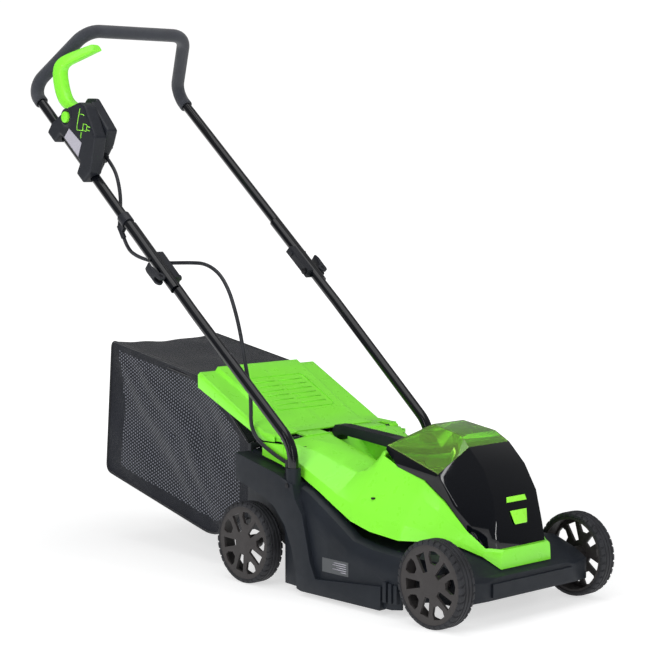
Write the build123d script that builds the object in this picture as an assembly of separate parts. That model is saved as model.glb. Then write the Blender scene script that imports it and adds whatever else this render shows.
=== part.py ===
"""Cordless push lawn mower with a two-part folding handle and a soft grass bag.

Millimetres. +Z is up, the front of the mower faces -Y, and the operator's right-hand side is -X.
The origin is on the ground, under the middle of the whole mower's bounding box.
"""
import os
from itertools import combinations
from math import cos, radians, sin, tan

from build123d import *

os.makedirs("parts", exist_ok=True)

# Wheels and axles
WHEEL_R = 72
WHEEL_WIDTH = 34
WHEEL_FACE_X = 190
RIM_R = 64
AXLE_R = 6
WHEELBASE = 455
FRONT_AXLE_Y = -519
REAR_AXLE_Y = FRONT_AXLE_Y + WHEELBASE
WHEEL_INNER_X = WHEEL_FACE_X - WHEEL_WIDTH

# Blade and motor
BLADE_LENGTH = 330
BLADE_Y = -290
BLADE_Z = 28
CHAMBER_R = 170
DECK_WALL = 4
DECK_PLATE_Z = 97
MOTOR_R = 46
SHAFT_R = 5

# Handle: both legs climb rearward at one angle. Distances along a leg are counted from the grip's end.
TUBE_R = 9.5
TUBE_WALL = 1.8
LEG_ANGLE = 39.67
GRIP_END_Y = 551
GRIP_END_Z = 856
UPPER_LEG_X = 181
LOWER_LEG_X = 176.3
SOCKET_X = 168
SOCKET_Y = -174
SOCKET_BOTTOM_Z = 169
SOCKET_TOP_Z = 216
FLAT_X = (UPPER_LEG_X + LOWER_LEG_X) / 2
FLAT_GAP = 0.3
UPPER_END = -543.5
LOWER_END = -368
LOWER_FLAT_START = -549
LOCK_AT = -514
STUD_AT = -462
BOLT_R = 3
CAM_X = 199.9
GRIP_R = 13.5
BEND_RISE = 45
TOP_ALONG = 35
TOP_RISE = 152.6
TOP_HALF = 120.6
BEND_RADII = [32, 45, 45, 32]

# Switch box on the right-hand upper leg
BOX_OUTER_X = -205
BOX_SEAM_X = -176
BOX_INNER_X = -150
BUTTON_AT = (-109, 51)
BUTTON_R = 10.5
BAIL_PIVOT = (-103, 67)

# Cable
CABLE_R = 3.5

# Flap hinge
FLAP_PIVOT_Y = -115.5
FLAP_PIVOT_Z = 254

CLEAR = 0.3

# Every part is moved by this much in Y as it is saved, which centres the bounding box on the origin
ORIGIN_Y = 3


def save(name, shape):
    export_step(Pos(0, ORIGIN_Y, 0) * shape, f"parts/{name}.step")


def mirrored(shape):
    return shape.mirror(Plane.YZ)


def block(x0, x1, y0, y1, z0, z1):
    return Pos((x0 + x1) / 2, (y0 + y1) / 2, (z0 + z1) / 2) * Box(x1 - x0, y1 - y0, z1 - z0)


def rod_x(x0, x1, y, z, radius):
    return Pos((x0 + x1) / 2, y, z) * Rot(0, 90, 0) * Cylinder(radius, x1 - x0)


def rod_z(x, y, z0, z1, radius):
    return Pos(x, y, (z0 + z1) / 2) * Cylinder(radius, z1 - z0)


def prism_x(outline, x0, x1):
    """Extrude an outline of (y, z) points from x0 to x1."""
    face = Plane.YZ * Polygon(*outline, align=None)
    return Pos(x0, 0, 0) * extrude(face, amount=x1 - x0, dir=(1, 0, 0))


def loft_y(stations):
    """Join mirrored sections. Each station is y and the right half's (x, z) points, from the top down."""
    faces = []
    for y, half in stations:
        outline = list(half) + [(-x, z) for x, z in reversed(half)]
        if half[0][0] == 0:
            outline.pop()
        plane = Plane(origin=(0, y, 0), x_dir=(1, 0, 0), z_dir=(0, -1, 0))
        faces.append(plane * Polygon(*outline, align=None))
    return loft(faces, ruled=True)


def shrink(stations, wall, floor, closed=False):
    """Sections moved inward by a wall, with their lowest points dropped to a floor height.

    A closed shape keeps the wall across its last section too.
    """
    inner = []
    last = stations[-1][0]
    for y, half in stations:
        if closed and y == last:
            y += wall
        moved = [(max(x - wall, 0) if x else 0, z - wall) for x, z in half]
        moved[-1] = (moved[-1][0], floor)
        inner.append((y, moved))
    return inner


def hull_planes(points):
    """Outward planes of the convex hull of a few points, as (normal, distance from the origin)."""
    vectors = [Vector(*p) for p in points]
    planes = []
    for a, b, c in combinations(vectors, 3):
        normal = (b - a).cross(c - a)
        if normal.length < 1:
            continue
        normal = normal.normalized()
        heights = [(v - a).dot(normal) for v in vectors]
        if min(heights) > -0.01:
            normal = normal * -1
        elif max(heights) > 0.01:
            continue
        if all((normal - known).length > 0.001 for known, _ in planes):
            planes.append((normal, a.dot(normal)))
    return planes


def faceted(points, wall=0.0, open_below=0.0):
    """A convex faceted solid. Its walls move inward by wall, and its underside moves down by open_below."""
    solid = Pos(0, -400, 200) * Box(600, 600, 600)
    for normal, distance in hull_planes(points):
        inward = wall if normal.Z > -0.6 else -open_below
        origin = normal * (distance - inward)
        solid = split(solid, bisect_by=Plane(origin=origin, z_dir=normal), keep=Keep.BOTTOM)
    return solid


def sweep_tube(path, outer, inner=0.0):
    ring = Circle(outer) - Circle(inner) if inner else Circle(outer)
    start = Plane(origin=path @ 0, z_dir=path % 0)
    return sweep(start * ring, path=path)


# Points on the handle

ALONG = Vector(0, cos(radians(LEG_ANGLE)), sin(radians(LEG_ANGLE)))
ACROSS = Vector(0, -sin(radians(LEG_ANGLE)), cos(radians(LEG_ANGLE)))
GRIP_END = Vector(0, GRIP_END_Y, GRIP_END_Z)


def on_leg(x, along, across=0.0):
    return GRIP_END + Vector(x, 0, 0) + ALONG * along + ACROSS * across


def leg_prism(outline, x0, x1):
    """Extrude an outline of (along, across) points on the handle from x0 to x1."""
    plane = Plane(origin=GRIP_END + Vector(x0, 0, 0), x_dir=ALONG, z_dir=(1, 0, 0))
    return extrude(plane * Polygon(*outline, align=None), amount=x1 - x0, dir=(1, 0, 0))


def leg_pin(along, across, x0, x1, radius):
    """A pin parallel to X through a point on the handle."""
    centre = on_leg((x0 + x1) / 2, along, across)
    return Pos(*centre) * Rot(0, 90, 0) * Cylinder(radius, abs(x1 - x0))


def leg_rod(x, along0, along1, radius, across=0.0):
    """A rod parallel to a leg."""
    plane = Plane(origin=on_leg(x, along0, across), x_dir=(1, 0, 0), z_dir=ALONG)
    return extrude(plane * Circle(radius), amount=along1 - along0)


# Wheels

def wheel_profile(points):
    """Turn (radius, x) points about the wheel's own axis, laid along X with the outer face at -X."""
    face = Plane.XZ * Polygon(*points, align=None)
    return Rot(0, -90, 0) * revolve(face, axis=Axis.Z)


def wheel_rim():
    """Dished disc with a barrel and a hub. Ten windows pierce it, deep and shallow by turns."""
    half = WHEEL_WIDTH / 2
    face = half - 1.5
    back = -half + 2
    rim = wheel_profile([(0, face), (RIM_R, face), (RIM_R, back), (RIM_R - 4, back), (RIM_R - 4, face - 5),
                         (12, face - 5), (12, -half - 3), (0, -half - 3)])
    rim -= rod_x(4 - face, half + 4, 0, 0, AXLE_R + 0.05)
    deep = Polygon((21, -5), (52, -9.5), (52, 9.5), (21, 5), align=None)
    shallow = Polygon((35, -5), (45, -12), (54, -12), (57, 0), (54, 12), (45, 12), (35, 5), align=None)
    for step in range(5):
        for outline, turn in ((deep, 24), (shallow, 60)):
            window = Rot(0, 0, turn + 72 * step) * extrude(outline, amount=60, both=True)
            rim -= Rot(0, -90, 0) * window
    return rim


def wheel_tyre():
    """Ribbed band over the rim's barrel, with blocks cut into both shoulders."""
    half = WHEEL_WIDTH / 2
    band = wheel_profile([(RIM_R, half - 1), (68, half), (70.5, half - 2), (WHEEL_R, half - 6),
                          (WHEEL_R, 6 - half), (70.5, 2 - half), (68, -half), (RIM_R, 1 - half)])
    return band


def make_wheels():
    rim = wheel_rim()
    tyre = wheel_tyre()
    centre_x = -(WHEEL_FACE_X - WHEEL_WIDTH / 2)
    for end, y in (("front", FRONT_AXLE_Y), ("rear", REAR_AXLE_Y)):
        for side in ("right", "left"):
            for piece, shape in (("rim", rim), ("tyre", tyre)):
                placed = Pos(centre_x, y, WHEEL_R) * shape
                if side == "left":
                    placed = mirrored(placed)
                save(f"wheel_{end}_{side}_{piece}", placed)


def make_axles():
    end_x = WHEEL_FACE_X - 7
    for end, y in (("front", FRONT_AXLE_Y), ("rear", REAR_AXLE_Y)):
        save(f"{end}_axle", rod_x(-end_x, end_x, y, WHEEL_R, AXLE_R))
    washers = []
    for y in (FRONT_AXLE_Y, REAR_AXLE_Y):
        ring = rod_x(-152.4, -150.4, y, WHEEL_R, 11) - rod_x(-154, -149, y, WHEEL_R, AXLE_R)
        washers += [ring, mirrored(ring)]
    save("axle_washers", Compound(washers))


# Deck

DECK_SIDE = [
    (-438, [(0, 101), (146, 101), (158, 97), (167, 84), (169, 70), (169, 14)]),
    (-420, [(0, 103), (150, 103), (162, 98), (172, 84), (174, 68), (174, 12)]),
    (-365, [(0, 107), (150, 107), (163, 102), (172, 88), (174, 72), (174, 12)]),
    (-318, [(0, 115), (150, 115), (163, 110), (172, 94), (174, 76), (174, 12)]),
    (-269, [(0, 146), (150, 146), (163, 140), (172, 122), (174, 100), (174, 12)]),
    (-209, [(0, 180), (150, 180), (163, 175), (171, 158), (173, 135), (173, 12)]),
    (-150, [(0, 200), (150, 200), (160, 196), (166, 180), (166, 150), (166, 12)]),
]
DECK_FRONT = [
    (-437, [(0, 104.5), (110, 104.5), (141, 104), (151, 99), (151, 34)]),
    (-502, [(0, 110), (92, 114), (135, 108), (150, 100), (150, 34)]),
    (-535, [(0, 98), (76, 100), (125, 95), (150, 88), (150, 34)]),
    (-560, [(0, 80), (62, 80), (112, 80), (150, 74), (150, 39)]),
    (-570, [(0, 77), (58, 77), (86, 76), (108, 71), (108, 41)]),
]
DECK_REAR = [
    (-152, [(0, 204), (138, 204), (148, 198), (150, 190), (150, 40)]),
    (-15, [(0, 226), (120, 226), (128, 221), (130, 212), (130, 62)]),
]
FENDER = [(-36, 229), (-36, 182), (-58, 176), (-100, 164), (-138, 147), (-166, 118), (-184, 80), (-194, 40),
          (-197, 12), (-208, 9), (-250, 9), (-250, 36), (-244, 36), (-231, 62), (-222, 99), (-211, 141),
          (-193, 166), (-186, 190), (-143, 205)]
SKIRT = [(-249, 9), (-400, 9), (-402, 20), (-402, 49), (-249, 36)]
FENDER_TOP_HOLLOW = [(-40, 150), (-40, 223), (-140, 200), (-156, 194), (-156, 120), (-120, 120)]
FENDER_FRONT_HOLLOW = [(-200, 20), (-241, 20), (-241, 33), (-227, 64), (-218, 100), (-208, 142), (-198, 150)]


def deck_side_pieces():
    """Wheel arch, bumper skirt and grooved foot of the left side, with the handle's socket."""
    side = prism_x(FENDER, 149, 182) - block(0, 165.5, -260, -188.5, 0, 191)
    side -= prism_x(FENDER_TOP_HOLLOW, 140, 178.5)
    side -= prism_x(FENDER_FRONT_HOLLOW, 140, 178.5)
    side += prism_x(SKIRT, 168, 182)
    for step in range(3):
        y = -406 - 10.5 * step
        side += block(166, 181 - 2 * step, y - 7.5, y, 24, 58 - 2 * step)
    side -= block(130, 178, -178, -170, 150, 160)
    return side + rod_z(SOCKET_X, SOCKET_Y, SOCKET_BOTTOM_Z - 20, SOCKET_TOP_Z, 13)


def make_deck():
    """Moulded shell: blade chamber ring, front beam, rear chute and outboard fenders."""
    body = loft_y(DECK_SIDE) - loft_y(shrink(DECK_SIDE, DECK_WALL, -10))
    body -= block(-143, 143, -439, -154, DECK_PLATE_Z + DECK_WALL, 260)
    body += block(-155, 155, -438, -152, DECK_PLATE_Z, DECK_PLATE_Z + DECK_WALL)
    front = loft_y(DECK_FRONT) - loft_y(shrink(DECK_FRONT, DECK_WALL, 10, closed=True))
    front += block(-98, 98, -574, -568, 46, 68)
    rear = loft_y(DECK_REAR) - prism_x([(-160, 40), (-160, 190), (-10, 216), (-10, 92), (-120, 84)], -120, 120)
    rear -= prism_x([(-160, 10), (-160, 60), (-115, 78), (0, 86), (0, 10)], -160, 160)
    gap = prism_x([(-146, 10), (-146, 190), (-70, 200), (-70, 10)], 124, 133)
    rear -= gap + mirrored(gap)
    ring = rod_z(0, BLADE_Y, 14, DECK_PLATE_Z + 1, CHAMBER_R + DECK_WALL - 2)
    ring -= rod_z(0, BLADE_Y, 0, DECK_PLATE_Z, CHAMBER_R - 2)
    side = deck_side_pieces() + flap_post()
    deck = body + front + rear + ring + side + mirrored(side)
    deck -= block(-110, 110, -165, -140, 60, DECK_PLATE_Z - 2)
    deck -= block(-110, 110, -160, -145, 60, 188)
    deck -= rod_z(0, BLADE_Y, 60, 130, 22)
    for y in (FRONT_AXLE_Y, REAR_AXLE_Y):
        deck -= rod_x(-200, 200, y, WHEEL_R, AXLE_R)
    for x in (SOCKET_X, -SOCKET_X):
        deck -= rod_z(x, SOCKET_Y, SOCKET_BOTTOM_Z, SOCKET_TOP_Z + 1, TUBE_R)
    deck -= cable_grommet()
    for shape in socket_screws():
        deck -= shape
    save("deck_shell", deck)
    save("cable_grommet", cable_grommet())


# Cover, hood and lid

COVER = [
    (-127.5, [(0, 260), (100, 259), (138, 254), (150, 240), (151, 212)]),
    (-175, [(0, 247), (70, 246), (112, 238), (148, 218), (152, 201)]),
    (-222, [(0, 236), (62, 232), (104, 222), (146, 196), (152, 179)]),
    (-262, [(0, 228), (60, 219), (100, 212), (146, 178), (152, 158)]),
    (-300, [(0, 254), (74, 250), (98, 220), (146, 165), (152, 139)]),
    (-345, [(0, 240), (86, 229), (104, 208), (144, 154), (152, 128)]),
    (-410, [(0, 225), (90, 214), (104, 190), (138, 146), (150, 122)]),
    (-455, [(0, 190), (88, 184), (98, 165), (118, 138), (126, 123)]),
    (-500, [(0, 140), (80, 140), (85, 135), (95, 126), (99, 118)]),
    (-534, [(0, 116), (70, 117), (76, 112), (79, 108), (80, 104)]),
    (-557, [(0, 115), (54, 115), (58, 112), (60, 98), (61, 84)]),
]
COVER_WALL = 3
POCKET = [(-284, 186), (-172, 186), (-150, 208), (-104, 252), (-104, 300), (-284, 300)]
POCKET_INSIDE = [(-281, 189), (-173.2, 189), (-151, 211.2), (-103, 257), (-103, 320), (-281, 320)]
COVER_SCREWS = [(120, -150, 244), (128, -330, 178)]
HOOD = [(49, -474, 273), (88, -441, 228), (72, -306, 260), (75, -306, 253), (86, -348, 228), (88, -425, 209),
        (80, -497, 140), (72, -533, 116), (55, -549, 115), (37, -380, 301), (42, -449, 290), (50, -508, 240),
        (53, -531, 198), (55, -543, 145)]
LID_EDGE = [(-306, 260), (-441, 228), (-474, 273)]
HOOD_WALL = 2.6
LID_PIN_R = 1.5


def both_sides(points):
    return list(points) + [(-x, y, z) for x, y, z in points]


def make_cover():
    """Green moulded cover with a pocket under the carry handle and a hinge strip along its rear edge."""
    cavity = loft_y(shrink(COVER, COVER_WALL, 60, closed=True))
    cover = loft_y(COVER) - (cavity - prism_x(POCKET, -46, 46))
    cover += prism_x([(-130, 257), (-130, 260.5), (-104, 264), (-104, 261)], -98, 98)
    cover += prism_x([(-130, 227), (-104, 252), (-104, 264), (-130, 260.5)], -46, 46)
    wing = prism_x([(-128, 213), (-73, 225), (-73, 248), (-128, 249)], 146, 151)
    cover += wing + mirrored(wing)
    cover -= prism_x(POCKET_INSIDE, -43, 43)
    cover -= faceted(both_sides(HOOD))
    cover -= block(-130, 130, -470, -300, 60, 300) & faceted(both_sides(HOOD), open_below=60)
    cover -= block(-200, 200, -600, -100, 0, 84)
    cover -= carry_handle()
    for screw in cover_screws():
        cover -= screw
    save("top_cover", cover)
    save("cover_screws", Compound(cover_screws()))


def make_hood():
    shell = faceted(both_sides(HOOD)) - faceted(both_sides(HOOD), HOOD_WALL, 30)
    (y0, z0), (y1, z1), (y2, z2) = LID_EDGE
    above = [(y0, z0 + CLEAR), (y1 + CLEAR, z1 + CLEAR), (y2 + CLEAR, z2 + CLEAR), (y2 - 30, 340), (y0 + 60, 340),
             (y0 + 60, z0)]
    below = [(y0 + 1, z0), (y1, z1), (y2, z2), (y2 - 100, z2 + 90), (y2, 400), (y0 + 60, 400)]
    lid = shell & prism_x(above, -120, 120)
    hood = shell - prism_x(below, -120, 120)
    pin_y = y0 + 5
    pin_z = z0 - 1
    knuckle = rod_x(-40, 40, pin_y, pin_z, 3.2) + block(-40, 40, y0 - 5, pin_y, z0 + 0.4, z0 + 2)
    lid += knuckle - rod_x(-50, 50, pin_y, pin_z, LID_PIN_R + 0.05)
    for x in (-43.5, 43.5):
        ear = rod_x(x - 2.5, x + 2.5, pin_y, pin_z, 3.2) + block(x - 2.5, x + 2.5, y0 - 1, pin_y, 256, 259)
        hood += ear - rod_x(x - 3, x + 3, pin_y, pin_z, LID_PIN_R)
    save("nose_hood", hood)
    save("battery_lid", lid)
    save("lid_pin", rod_x(-46, 46, pin_y, pin_z, LID_PIN_R))


def carry_handle():
    """Ribbed bar over the pocket, let into the cover at both ends."""
    outline = [(-106, 262), (-104, 250), (-108, 243), (-118, 241), (-119, 252), (-128, 254.5), (-292, 240),
               (-292, 258), (-250, 263), (-128, 271), (-112, 270)]
    bar = prism_x(outline, -13, 13)
    for step in range(20):
        y = -132 - 6 * step
        z = 271 - 8 * (-128 - y) / 122
        bar -= block(-13, 13, y - 1.2, y + 1.2, z - 1, z + 8)
    return bar


# Motor, blade and battery

def make_motor():
    """Motor over the deck plate, with its shaft, drum, fan hub, blade and blade bolt below."""
    y = BLADE_Y
    plate_top = DECK_PLATE_Z + DECK_WALL + 3
    plate = rod_z(0, y, plate_top - 3, plate_top, 58) - rod_z(0, y, 90, 120, SHAFT_R + 0.05)
    save("motor_plate", plate)
    housing = rod_z(0, y, plate_top, 168, MOTOR_R) - rod_z(0, y, plate_top, 165, MOTOR_R - 3)
    housing += rod_z(0, y, 157, 166, 9)
    housing -= rod_z(0, y, 150, 164, SHAFT_R + 0.05)
    save("motor_housing", housing)
    shaft = rod_z(0, y, BLADE_Z + 3, 163.5, SHAFT_R) + rod_z(0, y, 112, 150, 30)
    shaft -= rod_z(0, y, BLADE_Z, 46, 3)
    save("motor_shaft", shaft)
    hub = rod_z(0, y, BLADE_Z + 3, BLADE_Z + 6, 22) + rod_z(0, y, BLADE_Z + 3, 52, 12)
    hub += rod_z(0, y, 44, 47, 40)
    for step in range(8):
        hub += Pos(0, y, 0) * Rot(0, 0, 45 * step) * block(10, 38, -1, 1, 46, 58)
    hub -= rod_z(0, y, 20, 60, SHAFT_R)
    save("blade_adapter", hub)
    blade = block(-BLADE_LENGTH / 2, BLADE_LENGTH / 2, y - 25, y + 25, BLADE_Z, BLADE_Z + 3)
    for side in (1, -1):
        wing = block(92, 164, 10, 25, BLADE_Z, BLADE_Z + 12) - block(91, 165, 0, 22, BLADE_Z + 3, BLADE_Z + 13)
        blade += Pos(0, y, 0) * Rot(0, 0, 90 - 90 * side) * wing
    blade = (blade & rod_z(0, y, BLADE_Z, BLADE_Z + 12, BLADE_LENGTH / 2)) - rod_z(0, y, 20, 40, 3)
    save("blade", blade)
    head = extrude(Pos(0, y, BLADE_Z - 6) * RegularPolygon(9, 6), amount=6)
    save("blade_bolt", head + rod_z(0, y, BLADE_Z, 46, 3))


def make_electronics():
    """Control board on four posts, tray, contacts, battery pack and safety key."""
    plate_top = DECK_PLATE_Z + DECK_WALL
    board = block(-46, 46, -226, -172, 112, 114)
    for x in (-42, 42):
        for y in (-222, -176):
            board += rod_z(x, y, plate_top, 112, 3)
    board += rod_z(-20, -200, 114, 136, 9) + rod_z(6, -200, 114, 136, 9) + block(22, 38, -214, -186, 114, 128)
    save("control_board", board)
    tray = block(-46, 46, -440, -345, 130, 226) - block(-43.5, 43.5, -437.5, -347.5, 133, 230)
    for x in (-40, 40):
        for y in (-428, -351):
            tray += rod_z(x, y, plate_top, 131, 4)
    tray += block(-14, 14, -462, -440, 205, 211) - rod_z(0, -452, 200, 215, 4.5)
    save("battery_tray", tray)
    contacts = block(-24, 24, -400, -384, 133, 136)
    pack = block(-38, 38, -432, -352, 136.5, 232) + block(-33, 33, -426, -358, 232, 238)
    pack += block(-12, 12, -434, -424, 222, 236)
    for x in (-16, 0, 16):
        contacts += block(x - 1, x + 1, -398, -386, 136, 150)
        pack -= block(x - 1.6, x + 1.6, -399, -385, 136, 151)
    save("battery_contacts", contacts)
    save("battery_pack", pack)
    save("safety_key", rod_z(0, -452, 196, 214, 4.4) + block(-11, 11, -454, -450, 211.4, 226))


# Handle

def leg_side(shape, side):
    """The left leg's shape, or its mirror image for the right leg."""
    return mirrored(shape) if side == "right" else shape


def lower_tube():
    """Round steel tube out of the deck socket, bent to the leg's slope, pressed to a D at its top."""
    foot = Vector(SOCKET_X, SOCKET_Y, SOCKET_BOTTOM_Z)
    bend = on_leg(SOCKET_X, (SOCKET_Y - GRIP_END_Y) / ALONG.Y)
    straight = on_leg(LOWER_LEG_X, LOWER_FLAT_START - 55)
    path = FilletPolyline(foot, bend, straight, on_leg(LOWER_LEG_X, LOWER_FLAT_START + 2), radius=[70, 400])
    flat = leg_rod(LOWER_LEG_X, LOWER_FLAT_START, LOWER_END, TUBE_R)
    flat &= leg_prism([(-600, -20), (-300, -20), (-300, 20), (-600, 20)], 150, FLAT_X - FLAT_GAP / 2)
    hollow = leg_rod(LOWER_LEG_X, LOWER_FLAT_START, LOWER_END - 2, TUBE_R - TUBE_WALL)
    hollow &= leg_prism([(-600, -20), (-300, -20), (-300, 20), (-600, 20)], 150, FLAT_X - FLAT_GAP / 2 - TUBE_WALL)
    tube = sweep_tube(path, TUBE_R, TUBE_R - TUBE_WALL) + (flat - hollow)
    tube -= leg_rod(LOWER_LEG_X, LOWER_FLAT_START - 4, LOWER_FLAT_START + 2, TUBE_R - TUBE_WALL)
    return tube - leg_pin(LOCK_AT, 0, 150, 200, BOLT_R)


def make_lower_handle():
    tube = lower_tube()
    saddle = leg_prism([(-524, -8), (-448, -8), (-450, 8), (-520, 8)], 157, 171)
    saddle -= leg_rod(LOWER_LEG_X, -560, -400, TUBE_R)
    saddle += leg_pin(STUD_AT, 0, 154, 158, 5)
    saddle -= leg_pin(LOCK_AT, 0, 150, 200, BOLT_R)
    bolts = []
    for side in ("right", "left"):
        save(f"lower_tube_{side}", leg_side(tube, side))
        save(f"saddle_{side}", leg_side(saddle, side))
        bolt = leg_pin(LOCK_AT, 0, 153, CAM_X, BOLT_R) + lever_pin()
        nut = leg_pin(LOCK_AT, 0, 152, 157, 5.5)
        bolts.append(leg_side(bolt + nut, side))
    save("lock_bolts", Compound(bolts))
    save("socket_screws", Compound(socket_screws()))


def lever_pin():
    """Cross pin at a lock bolt's outer end, square to the leg."""
    plane = Plane(origin=on_leg(CAM_X, LOCK_AT, -7), x_dir=ALONG, z_dir=ACROSS)
    return extrude(plane * Circle(3.5), amount=14)


def make_cam_levers():
    """Forked cam with a thumb paddle lying up the leg, drawn for the right leg."""
    plane = Plane(origin=on_leg(0, 0, -8), x_dir=ALONG, z_dir=ACROSS)
    paddle = [(LOCK_AT, CAM_X), (LOCK_AT, CAM_X + 9), (-504, CAM_X + 9), (-486, 209.6), (-477, 207), (-477, 203.5),
              (-487, 204.5), (-500, 200)]
    lever = extrude(plane * Polygon(*paddle, align=None), amount=16, dir=ACROSS)
    lever += extrude(plane * Pos(LOCK_AT, CAM_X) * Circle(9), amount=16)
    lever -= extrude(plane * Pos(LOCK_AT, CAM_X) * Circle(3.55), amount=16)
    lever -= leg_prism([(LOCK_AT - 12, -3.4), (LOCK_AT + 4.5, -3.4), (LOCK_AT + 4.5, 3.4), (LOCK_AT - 12, 3.4)],
                       -215, -185)
    save("cam_lever_right", lever)
    save("cam_lever_left", mirrored(lever))


def handle_path(start):
    """Centre line of the upper tube, beginning and ending at one distance along the legs."""
    x = UPPER_LEG_X
    points = [on_leg(x, start), on_leg(x, BEND_RISE), on_leg(TOP_HALF, TOP_ALONG, TOP_RISE),
              on_leg(-TOP_HALF, TOP_ALONG, TOP_RISE), on_leg(-x, BEND_RISE), on_leg(-x, start)]
    return FilletPolyline(*points, radius=BEND_RADII)


def make_upper_handle():
    round_start = LOWER_END + 2
    tube = sweep_tube(handle_path(round_start), TUBE_R, TUBE_R - TUBE_WALL)
    inner_x = FLAT_X + FLAT_GAP / 2
    flat = leg_rod(UPPER_LEG_X, UPPER_END, round_start + 2, TUBE_R)
    flat &= leg_prism([(-600, -20), (-300, -20), (-300, 20), (-600, 20)], inner_x, 220)
    hollow = leg_rod(UPPER_LEG_X, UPPER_END + 2, round_start, TUBE_R - TUBE_WALL)
    hollow &= leg_prism([(-600, -20), (-300, -20), (-300, 20), (-600, 20)], inner_x + TUBE_WALL, 220)
    leg = flat - hollow + leg_pin(STUD_AT, 0, 189, 193, 4)
    leg -= leg_pin(LOCK_AT, 0, 170, 200, BOLT_R + 0.05)
    leg -= leg_rod(UPPER_LEG_X, round_start, round_start + 4, TUBE_R - TUBE_WALL)
    save("upper_tube", tube + leg + mirrored(leg))
    save("foam_grip", sweep_tube(handle_path(0), GRIP_R, TUBE_R))


# Switch box

BOX_OUTER = [(-76, -13), (-76, 10), (-98, 64), (-122, 98), (-141, 104), (-204, 79), (-234, 16), (-228, -13),
             (-200, -13), (-196, 12), (-112, 12), (-108, -13)]
BOX_INNER = [(-84, -13), (-84, 40), (-90, 83), (-112, 100), (-196, 90), (-205, 60), (-205, -13), (-198, -13),
             (-194, 12), (-114, 12), (-110, -13)]
BOX_HOLLOW = [(-190, 16), (-94, 16), (-104, 60), (-124, 90), (-141, 95), (-193, 75)]
BAIL_SLOT = [(-128, 36), (-96, 34), (-80, 17), (-60, 8), (-60, 110), (-112, 110), (-128, 84)]
BOX_SCREWS = [(-200, 17), (-198, 50), (-87, 13.5)]


def make_switch_box():
    """Two clamped shells round the right leg, with the bail's pin, screws and a blank label."""
    tube = mirrored(leg_rod(UPPER_LEG_X, -260, -50, TUBE_R))
    gland = leg_rod(-160, -210, -190, 5.5, 34)
    outer = leg_prism(BOX_OUTER, BOX_OUTER_X, BOX_SEAM_X) - leg_prism(BOX_HOLLOW, BOX_OUTER_X + 3, BOX_SEAM_X)
    inner = leg_prism(BOX_INNER, BOX_SEAM_X, BOX_INNER_X) - leg_prism(BOX_HOLLOW, BOX_SEAM_X, BOX_INNER_X - 3)
    slot = leg_prism(BAIL_SLOT, -188.5, -161.5)
    pin = leg_pin(*BAIL_PIVOT, BOX_OUTER_X + 3, BOX_INNER_X - 3, 3)
    screws = []
    for along, across in BOX_SCREWS:
        screws.append(leg_pin(along, across, -192, BOX_INNER_X, 1.5)
                      + leg_pin(along, across, BOX_INNER_X, BOX_INNER_X + 2.2, 3.2))
    outer += leg_pin(*BUTTON_AT, BOX_OUTER_X - 2, BOX_OUTER_X + 1, BUTTON_R + 4.5)
    outer -= leg_pin(*BUTTON_AT, -215, -188.5, BUTTON_R + 0.1)
    outer -= leg_pin(*BUTTON_AT, BOX_OUTER_X + 3, -188.5, BUTTON_R + 2.5)
    outer -= tube + slot + pin
    inner -= tube + slot + pin + gland
    for screw in screws:
        outer -= screw
        inner -= screw
    save("switch_box_outer", outer)
    save("switch_box_inner", inner)
    save("switch_screws", Compound(screws))
    save("bail_pin", pin)
    save("cable_gland", gland)
    save("switch_label", leg_prism([(-186, 17), (-128, 17), (-130, 40), (-178, 44)], BOX_OUTER_X - 0.5, BOX_OUTER_X))
    button = leg_pin(*BUTTON_AT, -209.6, -194, BUTTON_R) + leg_pin(*BUTTON_AT, -201.8, -199.8, BUTTON_R + 2)
    save("safety_button", button)


def make_bail_lever():
    """Channel-shaped lever: an arm out of the box, bent up and inward at the grip's corner."""
    arm = leg_prism([(-114, 56), (-114, 72), (-104, 76), (-76, 62), (-6, 98), (14, 92), (22, 76), (8, 64), (-45, 28),
                     (-64, 36), (-92, 52)], -187, -163)
    arm -= leg_prism([(-60, 48), (-8, 80), (4, 79), (4, 72), (-45, 40)], -184, -160)
    foot = Plane(origin=on_leg(-174, 3, 86), x_dir=(1, 0, 0), z_dir=ACROSS)
    tip = Plane(origin=on_leg(-120, -10, 146), x_dir=(1, 0, 0), z_dir=ACROSS)
    blade = loft([foot * Rectangle(26, 30), tip * Rectangle(24, 20)], ruled=True)
    groove = loft([foot * Pos(4, -4) * Rectangle(26, 22), tip * Pos(4, -3) * Rectangle(24, 14)], ruled=True)
    lever = arm + (blade - groove)
    save("bail_lever", lever - leg_pin(*BAIL_PIVOT, -200, -150, 3.05))


# Cable

def disc_at(point, direction, radius):
    plane = Plane(origin=point, z_dir=direction)
    return plane * Circle(radius)


def cable_path(points):
    """Points joined by straight runs, each corner rounded as far as its shorter run allows."""
    radii = []
    for before, here, after in zip(points, points[1:], points[2:]):
        turn = (here - before).get_angle(after - here)
        shorter = min((here - before).length, (after - here).length)
        radii.append(0.45 * shorter / tan(radians(turn / 2)))
    return FilletPolyline(*points, radius=radii), radii


CABLE_UPPER = [(-160, -210, 34), (-160, -238, 34), (-164, -268, 28), (-165, -297, 8), (-171, -322, -14),
               (-182, -345, -22)]
CABLE_LOWER = [(-185, 281.5, 598.3), (-182, 274, 578), (-172, 261, 565), (-159, 240, 556.5), (-149, 205, 553),
               (-143.5, 170, 554.5), (-141, 136, 556), (-140, 96, 556), (-141, 56, 541), (-145, 25, 513),
               (-149.5, 3, 480), (-151, -12, 445), (-151, -22, 408), (-151.5, -31, 372), (-152, -42, 338),
               (-153, -45, 305), (-154.5, -46, 277), (-155.5, -62, 254), (-156.5, -90, 240),
               (-157.5, -119, 229), (-158, -146, 221)]


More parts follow.
